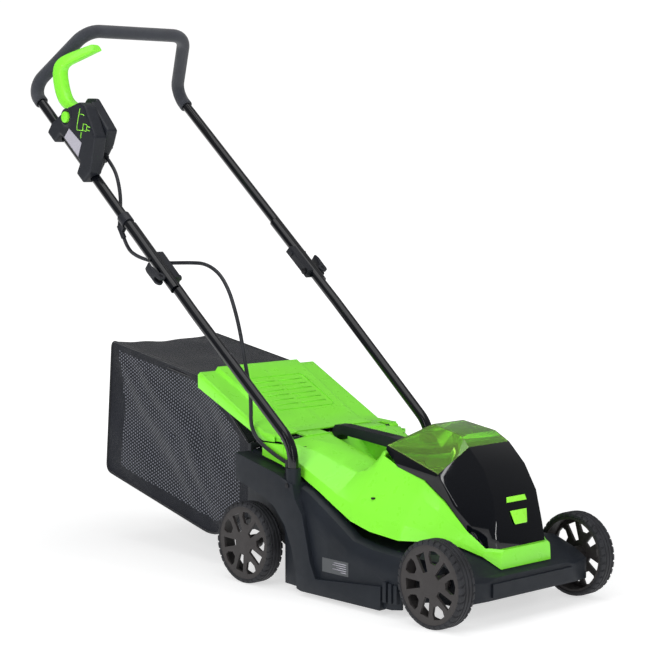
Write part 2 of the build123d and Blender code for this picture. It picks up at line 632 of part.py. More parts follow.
def make_cable():
    """Switch lead in two lengths with a clip on the leg between them, ending in a grommet on the deck."""
    upper_points = [on_leg(*point) for point in CABLE_UPPER]
    lower_points = [Vector(*point) for point in CABLE_LOWER]
    upper, upper_radii = cable_path(upper_points)
    lower, lower_radii = cable_path(lower_points)
    print("cable bend radii", [round(r) for r in upper_radii + lower_radii])
    save("cable_upper", sweep_tube(upper, CABLE_R))
    save("cable_lower", sweep_tube(lower, CABLE_R))
    start = disc_at(upper_points[-1], upper_points[-1] - upper_points[-2], 5)
    end = disc_at(lower_points[0], lower_points[1] - lower_points[0], 5)
    clip = loft([start, end], ruled=True)
    ring = mirrored(leg_rod(UPPER_LEG_X, -361, -341, TUBE_R + 3))
    web = leg_prism([(-361, -27), (-349, -25), (-349, -9), (-361, -9)], -187, -179)
    clip = clip + ring + web - mirrored(leg_rod(UPPER_LEG_X, -380, -330, TUBE_R))
    save("cable_clip", clip)


def cable_grommet():
    """Upright boot on the right fender. One side is cut flat where the lead enters it."""
    end = Vector(*CABLE_LOWER[-1])
    direction = (end - Vector(*CABLE_LOWER[-2])).normalized()
    boot = rod_z(end.X, end.Y - 4, 200, 227, 6)
    return split(boot, bisect_by=Plane(origin=end, z_dir=direction), keep=Keep.TOP)


# Flap

FLAP = [
    (114, [(0, 363), (98, 363), (104, 356), (140, 356), (145, 352), (145, 328)]),
    (-66, [(0, 269), (90, 269), (96, 264), (140, 264), (145, 260), (145, 250)]),
    (-98, [(0, 265), (90, 265), (96, 262.5), (140, 262.5), (145, 258.5), (145, 250)]),
]
FLAP_WALL = 2.5


def make_flap():
    """Sprung rear flap with a raised middle, side skirts and two hinge knuckles."""
    flap = loft_y(FLAP) - loft_y(shrink(FLAP, FLAP_WALL, 230))
    knuckle = rod_x(119, 140, FLAP_PIVOT_Y, FLAP_PIVOT_Z, 5)
    knuckle += block(119, 140, FLAP_PIVOT_Y, -94, 251, 262)
    knuckle -= rod_x(100, 145, FLAP_PIVOT_Y, FLAP_PIVOT_Z, 2.55)
    save("rear_flap", flap + knuckle + mirrored(knuckle))
    pin = rod_x(101, 141, FLAP_PIVOT_Y, FLAP_PIVOT_Z, 2.5)
    save("flap_pins", Compound([pin, mirrored(pin)]))


def flap_post():
    post = block(103, 118, FLAP_PIVOT_Y - 5, FLAP_PIVOT_Y + 5, 204, FLAP_PIVOT_Z)
    post += rod_x(103, 118, FLAP_PIVOT_Y, FLAP_PIVOT_Z, 5)
    return post - rod_x(100, 121, FLAP_PIVOT_Y, FLAP_PIVOT_Z, 2.5)


# Grass bag

BAG = [(402, 394), (424, 136), (90, 52), (-5, 100), (-5, 238), (60, 300), (120, 346)]
BAG_HALF = 128
BAG_WALL = 3


def make_bag():
    """Soft grass bag on a mouth frame, held out by a wire hoop inside its top."""
    outer = prism_x(BAG, -BAG_HALF, BAG_HALF)
    inner = Plane.YZ * offset(Polygon(*BAG, align=None), amount=-BAG_WALL)
    half = BAG_HALF - BAG_WALL
    bag = outer - Pos(-half, 0, 0) * extrude(inner, amount=2 * half, dir=(1, 0, 0))
    bag -= block(-117, 117, -6, 1, 108, 228)
    save("bag_body", bag)
    frame = block(-127, 127, -13.5, -5, 101, 237) - block(-117, 117, -20, 0, 108, 228)
    save("bag_mouth_frame", frame)
    wire = FilletPolyline((121, -2, 232), (121, 14, 232), (121, 120, 335), (121, 386, 381), (-121, 386, 381),
                          (-121, 120, 335), (-121, 14, 232), (-121, -2, 232), radius=[8, 30, 20, 20, 30, 8])
    save("bag_wire", sweep_tube(wire, 2.5))


# Small trim

def make_trim():
    """Blank rating plate and nose badge, and four cover screws."""
    save("side_label", block(-174.4, -174, -318, -254, 50, 74))
    down = Vector(0, -15, -53).normalized()
    plane = Plane(origin=(0, -531, 198), x_dir=(1, 0, 0), z_dir=Vector(1, 0, 0).cross(down) * -1)
    stripe = Polygon((-24, -13), (24, -13), (22, -4), (-22, -4), align=None)
    shield = Polygon((-20, -27), (20, -27), (15, -48), (0, -61), (-15, -48), align=None)
    badge = [extrude(plane * face, amount=1, dir=plane.z_dir) for face in (stripe, shield)]
    save("nose_badge", Compound(badge))


def cover_screws():
    screws = []
    for x, y, z in COVER_SCREWS:
        for side in (x, -x):
            screws.append(rod_z(side, y, z - 10, z, 1.8) + rod_z(side, y, z, z + 2.4, 4))
    return screws


def socket_screws():
    screws = []
    for side in (1, -1):
        shank = rod_x(SOCKET_X + TUBE_R + 1, SOCKET_X + 12, SOCKET_Y, 187, 2)
        head = rod_x(SOCKET_X + 12, SOCKET_X + 15.5, SOCKET_Y, 187, 4.2)
        screws.append(shank + head if side == 1 else mirrored(shank + head))
    return screws


def main():
    make_wheels()
    make_axles()
    make_deck()
    make_cover()
    make_hood()
    save("carry_handle", carry_handle())
    make_motor()
    make_electronics()
    make_lower_handle()
    make_cam_levers()
    make_upper_handle()
    make_switch_box()
    make_bail_lever()
    make_cable()
    make_flap()
    make_bag()
    make_trim()


main()
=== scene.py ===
from math import cos, exp, pi, radians, sin

import bmesh
import bpy
from mathutils import Matrix, Vector, noise


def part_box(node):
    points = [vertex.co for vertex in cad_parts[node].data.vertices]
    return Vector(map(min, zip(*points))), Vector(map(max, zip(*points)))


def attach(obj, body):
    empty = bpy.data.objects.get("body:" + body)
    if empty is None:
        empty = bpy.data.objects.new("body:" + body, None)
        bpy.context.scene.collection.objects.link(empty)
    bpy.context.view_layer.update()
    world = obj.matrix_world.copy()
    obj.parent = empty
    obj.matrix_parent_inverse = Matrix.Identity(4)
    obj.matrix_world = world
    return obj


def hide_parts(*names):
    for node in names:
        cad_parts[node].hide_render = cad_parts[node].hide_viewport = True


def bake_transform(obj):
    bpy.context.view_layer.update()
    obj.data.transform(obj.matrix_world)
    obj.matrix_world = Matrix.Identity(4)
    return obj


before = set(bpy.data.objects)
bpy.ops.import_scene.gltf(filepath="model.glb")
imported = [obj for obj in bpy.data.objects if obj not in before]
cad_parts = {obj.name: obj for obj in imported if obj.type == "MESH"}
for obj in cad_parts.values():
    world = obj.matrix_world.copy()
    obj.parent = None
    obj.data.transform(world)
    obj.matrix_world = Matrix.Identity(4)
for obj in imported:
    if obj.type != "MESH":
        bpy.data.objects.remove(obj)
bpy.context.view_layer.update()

# Every measure below is in millimetres, as in the CAD source, and becomes metres in P().
ROW_Y = 3.0

# Handle: distances along a leg are counted from the grip's end
LEG_ANGLE = radians(39.67)
GRIP_END = Vector((0, 551, 856))
ALONG = Vector((0, cos(LEG_ANGLE), sin(LEG_ANGLE)))
ACROSS = Vector((0, -sin(LEG_ANGLE), cos(LEG_ANGLE)))


def P(x, y, z):
    """A point in millimetres, as a row-frame vector in metres."""
    return Vector((x, y + ROW_Y, z)) / 1000


def on_leg(x, along, across=0.0):
    point = GRIP_END + ALONG * along + ACROSS * across
    return P(x, point.y, point.z)


def link(name, data):
    obj = bpy.data.objects.new(name, data)
    bpy.context.scene.collection.objects.link(obj)
    return obj


def grid_faces(rows, columns, wrap=False):
    faces = []
    for i in range(rows - 1):
        for k in range(columns if wrap else columns - 1):
            n = (k + 1) % columns
            faces.append((i * columns + k, i * columns + n, (i + 1) * columns + n, (i + 1) * columns + k))
    return faces


def mesh_object(name, verts, faces):
    mesh = bpy.data.meshes.new(name)
    mesh.from_pydata(verts, [], faces)
    mesh.update()
    return link(name, mesh)


def tidy_normals(mesh):
    made = bmesh.new()
    made.from_mesh(mesh)
    bmesh.ops.recalc_face_normals(made, faces=made.faces)
    made.to_mesh(mesh)
    made.free()


# Camera: where it stands, in metres, and its own three directions

CAMERA_LENS = 103.65
CAMERA_SHIFT = (-0.0093, -0.0006)
CAMERA_PLACE = Vector((-2.2844, -2.54605, 0.73694))
CAMERA_RIGHT = Vector((0.732816, -0.680426, -0.000745))
CAMERA_UP = Vector((0.058907, 0.062352, 0.996314))
CAMERA_BACK = Vector((-0.677872, -0.730159, 0.085775))


def make_camera():
    camera = bpy.data.cameras.new("camera")
    camera.sensor_width = 36
    camera.lens = CAMERA_LENS
    camera.shift_x, camera.shift_y = CAMERA_SHIFT
    camera.clip_end = 50
    obj = link("camera", camera)
    turn = Matrix((CAMERA_RIGHT, CAMERA_UP, CAMERA_BACK)).transposed()
    obj.matrix_world = Matrix.Translation(CAMERA_PLACE) @ turn.to_4x4()
    bpy.context.scene.camera = obj


make_camera()


# Cords: the switch cable, as leg coordinates down to its clip, then as points down to its grommet

CABLE_R = 3.5
CABLE_UPPER = [(-160, -210, 34), (-160, -238, 34), (-164, -268, 28), (-165, -297, 8), (-171, -322, -14),
               (-182, -345, -22)]
CABLE_LOWER = [(-185, 281.5, 598.3), (-182, 274, 578), (-172, 261, 565), (-159, 240, 556.5), (-149, 205, 553),
               (-143.5, 170, 554.5), (-141, 136, 556), (-140, 96, 556), (-141, 56, 541), (-145, 25, 513),
               (-149.5, 3, 480), (-151, -12, 445), (-151, -22, 408), (-151.5, -31, 372), (-152, -42, 338),
               (-153, -45, 305), (-154.5, -46, 277), (-155.5, -62, 254), (-156.5, -90, 240),
               (-157.5, -119, 229), (-158, -146, 221)]


def nurbs(name, points):
    """A smooth curve with the points as its control points."""
    curve = bpy.data.curves.new(name, "CURVE")
    curve.dimensions = "3D"
    curve.resolution_u = 12
    spline = curve.splines.new("NURBS")
    spline.points.add(len(points) - 1)
    for point, place in zip(spline.points, points):
        point.co = (*place, 1)
    spline.order_u = 3
    spline.use_endpoint_u = True
    return curve


def curve_line(curve):
    """Points read from a curve, in order, and its length."""
    probe = link("probe", curve)
    bpy.context.view_layer.update()
    mesh = bpy.data.meshes.new_from_object(probe)
    line = [vertex.co.copy() for vertex in mesh.vertices]
    bpy.data.objects.remove(probe)
    bpy.data.meshes.remove(mesh)
    return line, sum((b - a).length for a, b in zip(line, line[1:]))


def frames_along(line):
    """A side and an up direction at each point of a line, turning as little as possible."""
    tangents = []
    for i in range(len(line)):
        before = line[max(i - 1, 0)]
        after = line[min(i + 1, len(line) - 1)]
        tangents.append((after - before).normalized())
    side = tangents[0].orthogonal().normalized()
    result = []
    for tangent in tangents:
        side = (side - tangent * side.dot(tangent)).normalized()
        result.append((side, tangent.cross(side)))
    return result


def tube_mesh(name, line, radius, sides=14):
    """A closed tube along a line. The radius is one number, or one for each point."""
    radii = radius if isinstance(radius, list) else [radius] * len(line)
    verts, faces = [], []
    for point, (side, up), r in zip(line, frames_along(line), radii):
        for k in range(sides):
            angle = 2 * pi * k / sides
            verts.append(point + (side * cos(angle) + up * sin(angle)) * r)
    for i in range(len(line) - 1):
        for k in range(sides):
            a = i * sides + k
            b = i * sides + (k + 1) % sides
            faces.append((a, b, b + sides, a + sides))
    faces.append(tuple(reversed(range(sides))))
    faces.append(tuple(range((len(line) - 1) * sides, len(line) * sides)))
    mesh = bpy.data.meshes.new(name)
    mesh.from_pydata(verts, [], faces)
    mesh.shade_smooth()
    return mesh


def make_cord(name, points, stands_for):
    """A cord that follows the smooth curve through its route, entering the object at both ends."""
    line, length = curve_line(nurbs(name, points))
    cord = link(name, tube_mesh(name, line, CABLE_R / 1000))
    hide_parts(stands_for)
    return cord


def make_cords():
    upper = make_cord("cable_upper_lead", [on_leg(*point) for point in CABLE_UPPER], "cable_upper")
    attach(upper, "upper_handle")
    lower = make_cord("cable_lower_lead", [P(*point) for point in CABLE_LOWER], "cable_lower")
    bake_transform(lower)
    return upper, lower


cables = make_cords()


# Materials

class Finish:
    """A node material with a few helpers for its graph."""

    def __init__(self, name):
        self.mat = bpy.data.materials.new(name)
        self.mat.use_nodes = True
        self.tree = self.mat.node_tree
        self.shader = self.tree.nodes["Principled BSDF"]
        self.coords = self.node("ShaderNodeTexCoord").outputs["Object"]

    def node(self, kind, **settings):
        made = self.tree.nodes.new(kind)
        for key, value in settings.items():
            setattr(made, key, value)
        return made

    def link(self, source, target):
        self.tree.links.new(source, target)

    def set(self, **values):
        for key, value in values.items():
            self.shader.inputs[key.replace("_", " ")].default_value = value

    def noise(self, scale, detail=3.0, roughness=0.5, stretch=None):
        made = self.node("ShaderNodeTexNoise")
        made.inputs["Scale"].default_value = scale
        made.inputs["Detail"].default_value = detail
        made.inputs["Roughness"].default_value = roughness
        source = self.coords
        if stretch:
            mapping = self.node("ShaderNodeMapping")
            mapping.inputs["Scale"].default_value = stretch
            self.link(self.coords, mapping.inputs["Vector"])
            source = mapping.outputs["Vector"]
        self.link(source, made.inputs["Vector"])
        return made.outputs["Fac"]

    def ramp(self, value, low, high, out_low=0.0, out_high=1.0):
        made = self.node("ShaderNodeMapRange")
        for key, number in (("From Min", low), ("From Max", high), ("To Min", out_low), ("To Max", out_high)):
            made.inputs[key].default_value = number
        self.link(value, made.inputs["Value"])
        return made.outputs["Result"]

    def math(self, operation, a, b=0.0):
        made = self.node("ShaderNodeMath", operation=operation)
        for socket, value in zip(made.inputs, (a, b)):
            if isinstance(value, (int, float)):
                socket.default_value = value
            else:
                self.link(value, socket)
        return made.outputs["Value"]

    def mix(self, factor, a, b):
        made = self.node("ShaderNodeMix", data_type="RGBA")
        for socket, value in ((made.inputs[0], factor), (made.inputs[6], a), (made.inputs[7], b)):
            if isinstance(value, (int, float, tuple)):
                socket.default_value = (*value, 1) if isinstance(value, tuple) else value
            else:
                self.link(value, socket)
        return made.outputs[2]

    def bump(self, height, distance, strength=1.0, below=None):
        made = self.node("ShaderNodeBump")
        made.inputs["Distance"].default_value = distance / 1000
        made.inputs["Strength"].default_value = strength
        self.link(height, made.inputs["Height"])
        if below:
            self.link(below, made.inputs["Normal"])
        return made.outputs["Normal"]

    def edge_highlight_mask(self, radius, most):
        """How close the surface is to a rounded edge, from 0 to most."""
        rounded = self.node("ShaderNodeBevel", samples=3)
        rounded.inputs["Radius"].default_value = radius
        geometry = self.node("ShaderNodeNewGeometry")
        dot = self.node("ShaderNodeVectorMath", operation="DOT_PRODUCT")
        self.link(rounded.outputs["Normal"], dot.inputs[0])
        self.link(geometry.outputs["Normal"], dot.inputs[1])
        return self.ramp(dot.outputs["Value"], 0.995, 0.9, 0, most)

    def use(self, colour=None, rough=None, normal=None):
        for value, socket in ((colour, "Base Color"), (rough, "Roughness"), (normal, "Normal")):
            if value is not None:
                self.link(value, self.shader.inputs[socket])


def shade(colour, factor):
    return tuple(min(channel * factor, 1) for channel in colour)


def moulded(name, colour, rough, grain=0.05, grain_scale=1400, spread=0.12, edge=1.5, **values):
    """Moulded plastic: slow colour drift, fine grain, faint swirl in the gloss and paler edges, a painted
    highlight along rounded edges.
    """
    f = Finish(name)
    drift = f.noise(14, 4)
    base = f.mix(f.ramp(drift, 0.3, 0.7), shade(colour, 1 - spread), shade(colour, 1 + spread))
    fine = f.noise(grain_scale, 2, 0.6)
    base = f.mix(f.ramp(fine, 0.35, 0.75, 0, 0.2), base, shade(colour, 1 + spread))
    # Painted highlight: the colour pales towards rounded edges, as where light catches them.
    base = f.mix(f.edge_highlight_mask(0.0012, 0.55), base, shade(colour, edge))
    gloss = f.ramp(f.noise(60, 4), 0.3, 0.7, rough - 0.04, rough + 0.05)
    f.use(base, gloss, f.bump(fine, grain, 0.6))
    f.set(**{"Specular_IOR_Level": 0.28, **values})
    return f.mat


def glossy(name, colour, rough, **values):
    """Polished plastic or paint: faint orange peel and soft dust in the gloss."""
    f = Finish(name)
    peel = f.noise(220, 2)
    dust = f.noise(900, 2, 0.7)
    base = f.mix(f.ramp(dust, 0.62, 0.8, 0, 0.2), colour, shade(colour, 1.5))
    f.use(base, f.ramp(f.noise(30, 4), 0.3, 0.7, rough * 0.8, rough * 1.4), f.bump(peel, 0.01, 0.25))
    f.set(**{"Specular_IOR_Level": 0.25, **values})
    return f.mat


def make_materials():
    m = {}
    green = (0.2, 0.72, 0.035)
    m["green"] = moulded("green_satin", green, 0.3, 0.006, 600, 0.03, 1.15,
                         Coat_Weight=0.25, Coat_Roughness=0.18)
    m["green_lever"] = moulded("green_lever", green, 0.26, 0.006, 600, 0.03, 1.15, Coat_Weight=0.3)
    m["deck"] = moulded("deck_charcoal", (0.008, 0.0105, 0.015), 0.5, 0.12, 700, 0.15, 1.8)
    m["handle"] = moulded("handle_black", (0.009, 0.0105, 0.014), 0.42, 0.08, 900)
    m["switch"] = moulded("switch_black", (0.012, 0.0135, 0.018), 0.4, 0.1, 900)
    m["cam"] = moulded("cam_black", (0.013, 0.014, 0.018), 0.4, 0.06, 900)
    m["rim"] = moulded("rim_grey", (0.034, 0.031, 0.031), 0.48, 0.08, 900, 0.1, 1.9)
    m["frame"] = moulded("frame_black", (0.02, 0.022, 0.026), 0.45, 0.08, 900)
    m["tray"] = moulded("tray_black", (0.02, 0.021, 0.024), 0.5, 0.08, 900)
    m["pack"] = moulded("pack_black", (0.03, 0.032, 0.036), 0.4, 0.08, 900)
    m["key"] = moulded("key_red", (0.5, 0.02, 0.015), 0.35, 0.03, 900)
    m["hood"] = glossy("hood_gloss", (0.002, 0.0025, 0.004), 0.05, Coat_Weight=0.2, Coat_Roughness=0.02)
    m["tube"] = glossy("tube_paint", (0.002, 0.0025, 0.004), 0.14, Coat_Weight=0.3, Coat_Roughness=0.06)
    m["badge"] = glossy("badge_green", (0.28, 0.8, 0.05), 0.25, Coat_Weight=0.4)
    m["motor"] = glossy("motor_can", (0.03, 0.03, 0.032), 0.35, Metallic=0.6)
    m["screw"] = glossy("screw_black", (0.03, 0.03, 0.033), 0.3, Metallic=0.9)
    m["steel"] = brushed("steel", (0.55, 0.55, 0.56), 0.3)
    m["blade"] = brushed("blade_paint", (0.02, 0.02, 0.022), 0.35)
    m["brass"] = brushed("contact_brass", (0.75, 0.5, 0.18), 0.25)
    m["alloy"] = brushed("adapter_alloy", (0.45, 0.46, 0.48), 0.4)
    m["rubber"] = rubber("tyre_rubber", (0.016, 0.0165, 0.019), 0.6)
    m["cable"] = rubber("cable_rubber", (0.014, 0.015, 0.018), 0.36)
    m["foam"] = foam()
    m["lid"] = tinted_lid()
    m["board"] = board()
    m["label"] = label("label_grey", (0.36, 0.35, 0.4))
    m["plate"] = label("plate_dark", (0.05, 0.055, 0.06))
    m["cloth"] = woven()
    m["mesh"] = open_mesh()
    m["thread"] = moulded("binding_tape", (0.012, 0.013, 0.016), 0.8, 0.2, 1200, Sheen_Weight=0.3)
    return m


def brushed(name, colour, rough):
    f = Finish(name)
    grain = f.noise(300, 3, 0.6, (0.08, 1, 1))
    base = f.mix(f.ramp(grain, 0.3, 0.7), shade(colour, 0.85), shade(colour, 1.12))
    f.use(base, f.ramp(grain, 0.3, 0.7, rough - 0.08, rough + 0.1), f.bump(grain, 0.03))
    f.set(Metallic=1.0)
    return f.mat


def rubber(name, colour, rough):
    """Rubber with a dusty bloom and fine pores."""
    f = Finish(name)
    bloom = f.noise(40, 5, 0.6)
    pores = f.noise(1500, 2, 0.6)
    base = f.mix(f.ramp(bloom, 0.42, 0.75), colour, shade(colour, 1.9))
    f.use(base, f.ramp(bloom, 0.3, 0.7, rough - 0.06, rough + 0.14), f.bump(pores, 0.06))
    f.set(Specular_IOR_Level=0.3)
    return f.mat


def foam():
    f = Finish("grip_foam")
    cells = f.node("ShaderNodeTexVoronoi", feature="F1")
    cells.inputs["Scale"].default_value = 900
    f.link(f.coords, cells.inputs["Vector"])
    rubbed = f.noise(35, 4)
    base = f.mix(f.ramp(rubbed, 0.3, 0.7), (0.018, 0.02, 0.027), (0.031, 0.034, 0.044))
    base = f.mix(f.ramp(cells.outputs["Distance"], 0.0, 0.5, 0.5, 0), base, (0.008, 0.008, 0.01))
    f.use(base, f.ramp(rubbed, 0.3, 0.7, 0.82, 0.95), f.bump(cells.outputs["Distance"], 0.25))
    f.set(Sheen_Weight=0.25, Sheen_Roughness=0.5)
    return f.mat


def tinted_lid():
    """Clear green polycarbonate with faint flow lines and a painted highlight along its edges."""
    f = Finish("lid_tint")
    flow = f.noise(18, 3, 0.5, (1, 0.3, 1))
    base = f.mix(f.ramp(flow, 0.3, 0.7), (0.4, 0.92, 0.07), (0.55, 1.0, 0.14))
    # Painted highlight: pale yellow-green along the rounded edges, as light glowing in the edges of clear
    # plastic.
    base = f.mix(f.edge_highlight_mask(0.0022, 0.9), base, (0.95, 1.0, 0.5))
    f.use(base, f.ramp(f.noise(50, 3), 0.3, 0.7, 0.02, 0.07), f.bump(flow, 0.15, 0.4))
    f.set(Transmission_Weight=0.9, IOR=1.45, Coat_Weight=0.6)
    return f.mat


def board():
    f = Finish("control_board")
    traces = f.node("ShaderNodeTexBrick")
    traces.inputs["Scale"].default_value = 120
    f.link(f.coords, traces.inputs["Vector"])
    base = f.mix(f.ramp(traces.outputs["Fac"], 0, 1), (0.01, 0.12, 0.04), (0.03, 0.22, 0.08))
    f.use(base, f.ramp(f.noise(80), 0.3, 0.7, 0.25, 0.4), f.bump(traces.outputs["Fac"], 0.05))
    return f.mat


def label(name, colour):
    """Printed film over a fine-textured backing."""
    f = Finish(name)
    film = f.noise(700, 2)
    base = f.mix(f.ramp(film, 0.3, 0.7), shade(colour, 0.92), shade(colour, 1.08))
    f.use(base, f.ramp(f.noise(50), 0.3, 0.7, 0.3, 0.42), f.bump(film, 0.03))
    return f.mat


def threads(f, pitch):
    """Plain weave height from the object's own coordinates, for cloth facing along X, Y or Z."""
    split = f.node("ShaderNodeSeparateXYZ")
    f.link(f.coords, split.inputs[0])
    waves = []
    for axis in ("X", "Y", "Z"):
        waves.append(f.math("SINE", f.math("MULTIPLY", split.outputs[axis], 2 * pi / (pitch / 1000))))
    height = f.math("ADD", f.math("MULTIPLY", waves[0], waves[1]), f.math("MULTIPLY", waves[1], waves[2]))
    return f.math("ADD", height, f.math("MULTIPLY", waves[0], waves[2]))


def woven():
    """Black oxford cloth: plain weave, slight fading and creases."""
    f = Finish("bag_oxford")
    weave = threads(f, 1.3)
    fade = f.noise(9, 5, 0.6)
    base = f.mix(f.ramp(fade, 0.3, 0.7), (0.006, 0.007, 0.01), (0.012, 0.0135, 0.019))
    base = f.mix(f.ramp(weave, -1, 1, 0, 0.4), base, (0.018, 0.02, 0.027))
    crease = f.bump(f.noise(45, 4, 0.55, (1, 0.5, 1)), 1.1, 0.5)
    f.use(base, f.ramp(fade, 0.3, 0.7, 0.62, 0.78), f.bump(weave, 0.12, 1, crease))
    f.set(Sheen_Weight=0.12, Sheen_Roughness=0.4, Specular_IOR_Level=0.2)
    return f.mat


def open_mesh():
    """Knitted open mesh: round holes on a triangular grid in the panel's own plane."""
    f = Finish("bag_mesh")
    split = f.node("ShaderNodeSeparateXYZ")
    f.link(f.coords, split.inputs[0])
    pitch = 6.4
    total = None
    for angle in (0, 60, 120):
        along = f.math("ADD", f.math("MULTIPLY", split.outputs["Y"], cos(radians(angle))),
                       f.math("MULTIPLY", split.outputs["Z"], sin(radians(angle))))
        wave = f.math("COSINE", f.math("MULTIPLY", along, 2 * pi / (pitch * 0.866 / 1000)))
        total = wave if total is None else f.math("ADD", total, wave)
    solid = f.ramp(total, 1.9, 1.2, 0.75, 1)
    fade = f.noise(10, 5, 0.6)
    base = f.mix(f.ramp(fade, 0.3, 0.7), (0.006, 0.007, 0.01), (0.014, 0.0155, 0.021))
    # Painted light: the holes are coloured pale grey, standing in for the light seen through them.
    base = f.mix(f.ramp(total, 0.5, 1.7), base, (0.2, 0.21, 0.245))
    f.use(base, f.ramp(fade, 0.3, 0.7, 0.5, 0.68), f.bump(total, -0.35, 0.8))
    f.link(solid, f.shader.inputs["Alpha"])
    f.set(Sheen_Weight=0.12, Sheen_Roughness=0.4, Specular_IOR_Level=0.2)
    return f.mat


mats = make_materials()
for cable in cables:
    cable.data.materials.append(mats["cable"])


# CAD nodes that stay: materials, rounded edges and shading by angle

def smooth_group(degrees):
    """A modifier group that shades smooth where the edge angle is below a limit."""
    group = bpy.data.node_groups.new(f"smooth_{degrees}", "GeometryNodeTree")
    group.interface.new_socket("Geometry", in_out="INPUT", socket_type="NodeSocketGeometry")
    group.interface.new_socket("Geometry", in_out="OUTPUT", socket_type="NodeSocketGeometry")
    start = group.nodes.new("NodeGroupInput")
    end = group.nodes.new("NodeGroupOutput")
    faces = group.nodes.new("GeometryNodeSetShadeSmooth")
    edges = group.nodes.new("GeometryNodeSetShadeSmooth")
    edges.domain = "EDGE"
    angle = group.nodes.new("GeometryNodeInputMeshEdgeAngle")
    compare = group.nodes.new("FunctionNodeCompare")
    compare.operation = "LESS_THAN"
    compare.inputs["B"].default_value = radians(degrees)
    group.links.new(angle.outputs["Unsigned Angle"], compare.inputs["A"])
    group.links.new(compare.outputs["Result"], edges.inputs["Shade Smooth"])
    group.links.new(start.outputs[0], faces.inputs["Geometry"])
    group.links.new(faces.outputs["Geometry"], edges.inputs["Geometry"])
    group.links.new(edges.outputs["Geometry"], end.inputs[0])
    return group


SMOOTH = {degrees: smooth_group(degrees) for degrees in (28, 40)}


def dress(obj, mat, bevel=0.0, smooth=28, segments=3):
    """Give an object its material, with rounded edges of a width in millimetres."""
    obj.data.materials.clear()
    obj.data.materials.append(mats[mat])
    weld = obj.modifiers.new("weld", "WELD")
    weld.merge_threshold = 1e-5
    if bevel:
        rounding = obj.modifiers.new("round", "BEVEL")
        rounding.width = bevel / 1000
        rounding.segments = segments
        rounding.limit_method = "ANGLE"
        rounding.angle_limit = radians(32)
        rounding.use_clamp_overlap = True
        rounding.miter_outer = "MITER_ARC"
    shading = obj.modifiers.new("shading", "NODES")
    shading.node_group = SMOOTH[smooth]


# Node, material, and width of its rounded edges
DRESSED = [
    ("deck_shell", "deck", 1.0), ("top_cover", "green", 0.9), ("nose_hood", "hood", 1.0),
    ("battery_lid", "lid", 0.8), ("lid_pin", "steel", 0), ("carry_handle", "handle", 0.5),
    ("motor_housing", "motor", 1), ("motor_plate", "steel", 0), ("motor_shaft", "steel", 0),
    ("blade", "blade", 0.3), ("blade_adapter", "alloy", 0.3), ("blade_bolt", "steel", 0.4),
    ("control_board", "board", 0), ("battery_tray", "tray", 0.4), ("battery_contacts", "brass", 0),
    ("battery_pack", "pack", 1.0), ("safety_key", "key", 0.6), ("front_axle", "steel", 0),
    ("rear_axle", "steel", 0), ("axle_washers", "steel", 0), ("lock_bolts", "screw", 0.3),
    ("socket_screws", "screw", 0.3), ("cover_screws", "screw", 0.3), ("switch_screws", "screw", 0.3),
    ("saddle_right", "cam", 0.6), ("saddle_left", "cam", 0.6), ("cam_lever_right", "cam", 0.7),
    ("cam_lever_left", "cam", 0.7), ("lower_tube_right", "tube", 0), ("lower_tube_left", "tube", 0),
    ("upper_tube", "tube", 0), ("switch_label", "label", 0), ("bail_pin", "steel", 0),
    ("safety_button", "green_lever", 0.8), ("cable_gland", "cable", 0.8), ("cable_clip", "cam", 0.5),
    ("cable_grommet", "cable", 0.8), ("rear_flap", "green", 0.9), ("flap_pins", "steel", 0),
    ("bag_mouth_frame", "frame", 1.0), ("bag_wire", "tube", 0), ("side_label", "plate", 0),
]
for node, mat, bevel in DRESSED:
    dress(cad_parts[node], mat, bevel, 40 if bevel == 0 else 28)


# Wheels

WHEELS = [("front", -519), ("rear", -64)]
WHEEL_R = 72.0
WHEEL_MID_X = 173.0
LUGS = 34


def tyre_mesh(name):
    """Tyre with a ribbed crown and blocks on both shoulders, about the X axis, outer face at -X."""
    crown = [(-9, 72.0), (-8.4, 70.6), (-6.6, 70.6), (-6, 72.0), (-1.2, 72.0), (-0.7, 70.4),
             (0.7, 70.4), (1.2, 72.0), (6, 72.0), (6.6, 70.6), (8.4, 70.6), (9, 72.0)]
    left = [(-15.6, 63.9), (-16.8, 65.0), (-17.0, 67.2), (-16.2, 69.6), (-14.2, 71.2), (-11.0, 71.9)]
    right = [(-x, r) for x, r in reversed(left)]
    profile = left + crown + right
    steps = []
    for lug in range(LUGS):
        for part, low in ((0.0, 0), (0.05, 0), (0.1, 1), (0.3, 1), (0.35, 0), (0.7, 0)):
            steps.append(((lug + part) / LUGS * 2 * pi, low))
    verts, faces = [], []
    count = len(profile)
    for angle, low in steps:
        for k, (x, r) in enumerate(profile):
            shoulder = k in (2, 3, 4, 5) or k in (count - 3, count - 4, count - 5, count - 6)
            cut = 2.1 if low and shoulder else 0.0
            twist = 0.045 * (abs(x) - 9) / 8 if abs(x) > 9 else 0.05 * x / 9
            a = angle + twist
            inward = 1 - (0.05 if low and k in (2, 3, count - 3, count - 4) else 0)
            verts.append(Vector((x * inward, (r - cut) * cos(a), (r - cut) * sin(a))) / 1000)
    rings = len(steps)
    for i in range(rings):
        j = (i + 1) % rings
        for k in range(count):
            n = (k + 1) % count
            faces.append((i * count + k, i * count + n, j * count + n, j * count + k))
    mesh = bpy.data.meshes.new(name)
    mesh.from_pydata(verts, [], faces)
    mesh.update()
    tidy_normals(mesh)
    return mesh


